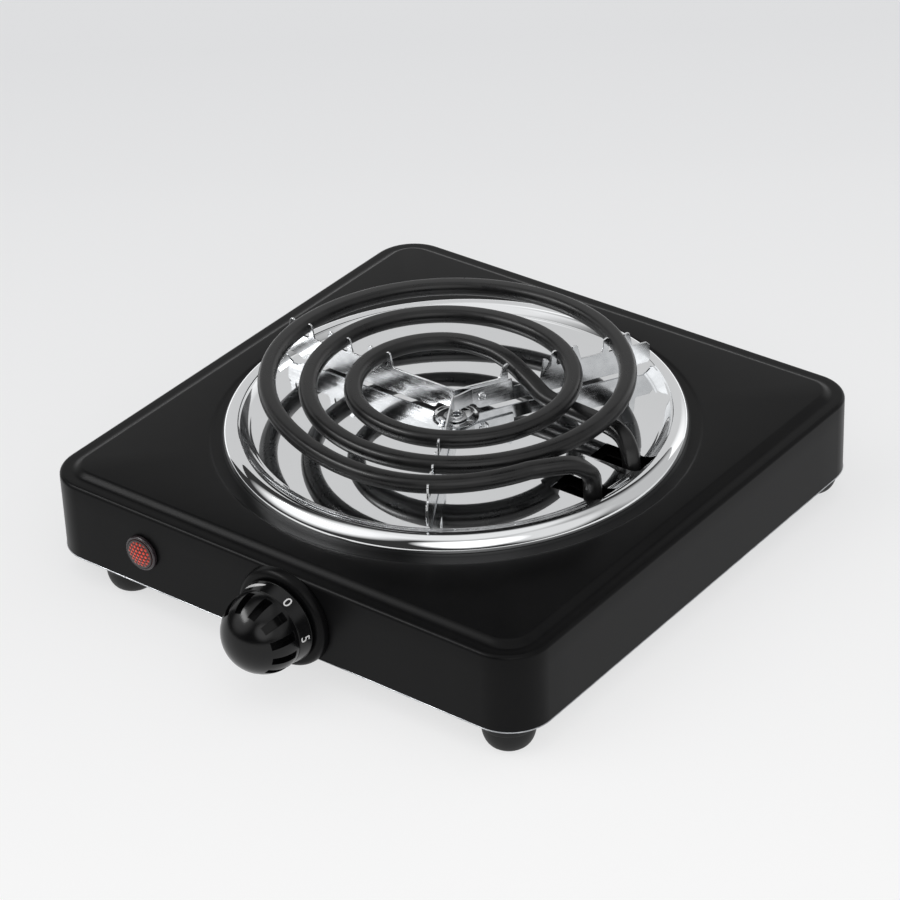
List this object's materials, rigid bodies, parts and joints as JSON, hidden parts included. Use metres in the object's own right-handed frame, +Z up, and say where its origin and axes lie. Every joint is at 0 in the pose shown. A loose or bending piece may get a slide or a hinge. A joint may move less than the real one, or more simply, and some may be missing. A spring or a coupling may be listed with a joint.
{
  "type": "hot plate burner",
  "caption": "Square table-top hot plate with an open heating spiral over a round drip pan, a front knob and a pilot lamp.",
  "frame": {"origin": "middle of the whole object's box at the height of the surface the feet stand on", "axes": "+Z up, -Y is the front with the knob and the lamp, +X is the right side where the heating tube goes down"},
  "size_m": [0.23, 0.2624, 0.0702],
  "materials": {
    "black_paint": "satin black paint on pressed steel",
    "black_plate": "matt black paint on the base plate",
    "chrome": "mirror chrome plating",
    "tube_black": "heat-blackened steel tube",
    "bright_steel": "bright plated strip steel",
    "zinc_steel": "zinc-plated steel",
    "brass_part": "bare brass",
    "silver_contact": "silver contact",
    "bimetal": "bimetal strip",
    "ceramic": "unglazed steatite ceramic",
    "rubber_black": "matt black rubber",
    "knob_black": "gloss black moulding",
    "bezel_black": "semi-gloss black moulding",
    "lens_red": "translucent red-orange lens",
    "lamp_body": "dark translucent moulding",
    "lamp_glass": "clear glass",
    "wire_brown": "silicone insulation",
    "wire_red": "glass-fibre sleeve",
    "wire_blue": "silicone insulation",
    "wire_grey": "thin insulated leads",
    "wire_earth": "yellow and green insulation",
    "gland_black": "matt black nylon"
  },
  "bodies": {
    "base": {"casing": "black_paint", "base_plate": "black_plate", "corner_tabs": "zinc_steel", "feet": "rubber_black", "foot_screws": "zinc_steel", "drip_pan": "chrome", "pan_spacer": "zinc_steel", "pan_screw": "zinc_steel", "pan_nut": "zinc_steel", "hinge_bracket": "zinc_steel", "hinge_pin": "zinc_steel", "pin_clips": "zinc_steel", "knob_bezel": "bezel_black", "bush_nut": "zinc_steel", "spindle_bush": "brass_part", "thermostat_frame": "zinc_steel", "ceramic_rings": "ceramic", "fixed_blade": "brass_part", "fixed_contact": "silver_contact", "blade_root": "brass_part", "bimetal_strip": "bimetal", "stack_rivet": "zinc_steel", "lamp_holder": "lamp_body", "lamp_lens": "lens_red", "neon_bulb": "lamp_glass", "lamp_clip": "zinc_steel", "terminal_block": "ceramic", "terminal_screws": "brass_part", "block_screw": "zinc_steel", "cord_gland": "gland_black", "clamp_block": "ceramic", "cord_clamp": "zinc_steel", "clamp_screws": "zinc_steel", "earth_screw": "zinc_steel", "earth_tag": "brass_part", "earth_nut": "zinc_steel", "supply_wire": "wire_brown", "element_wire": "wire_red", "neutral_wire": "wire_blue", "lamp_wires": "wire_grey", "earth_wire": "wire_earth"},
    "element": {"heating_tube": "tube_black", "end_seals": "ceramic", "terminal_pins": "zinc_steel", "arm_pair": "bright_steel", "single_arm": "bright_steel", "arm_rivet": "bright_steel", "leg_clamp": "zinc_steel"},
    "control": {"knob": "knob_black", "knob_spring": "bright_steel", "spindle": "brass_part"},
    "pin": {"push_pin": "ceramic"},
    "blade": {"moving_blade": "brass_part", "moving_contact": "silver_contact"}
  },
  "joints": [
    {"name": "knob_turn", "type": "hinge", "parent": "base", "child": "control", "pos_m": [0.007, -0.10225, 0.0265], "axis": [0, 1, 0], "range_deg": [0, 300]},
    {"name": "spiral_lift", "type": "hinge", "parent": "base", "child": "element", "pos_m": [0.084, 0.01125, 0.0411], "axis": [0, 1, 0], "range_deg": [0, 15]},
    {"name": "pin_slide", "type": "slide", "parent": "base", "child": "pin", "axis": [0, 1, 0], "range_m": [-0.0006, 0]},
    {"name": "blade_swing", "type": "hinge", "parent": "base", "child": "blade", "pos_m": [0.01765, -0.086, 0.0265], "axis": [0, 0, 1], "range_deg": [0, 3]}
  ],
  "couplings": [
    {"joint": "pin_slide", "follows": "knob_turn", "m_per_rad": -0.000114},
    {"joint": "blade_swing", "follows": "knob_turn", "ratio": 0.01}
  ]
}
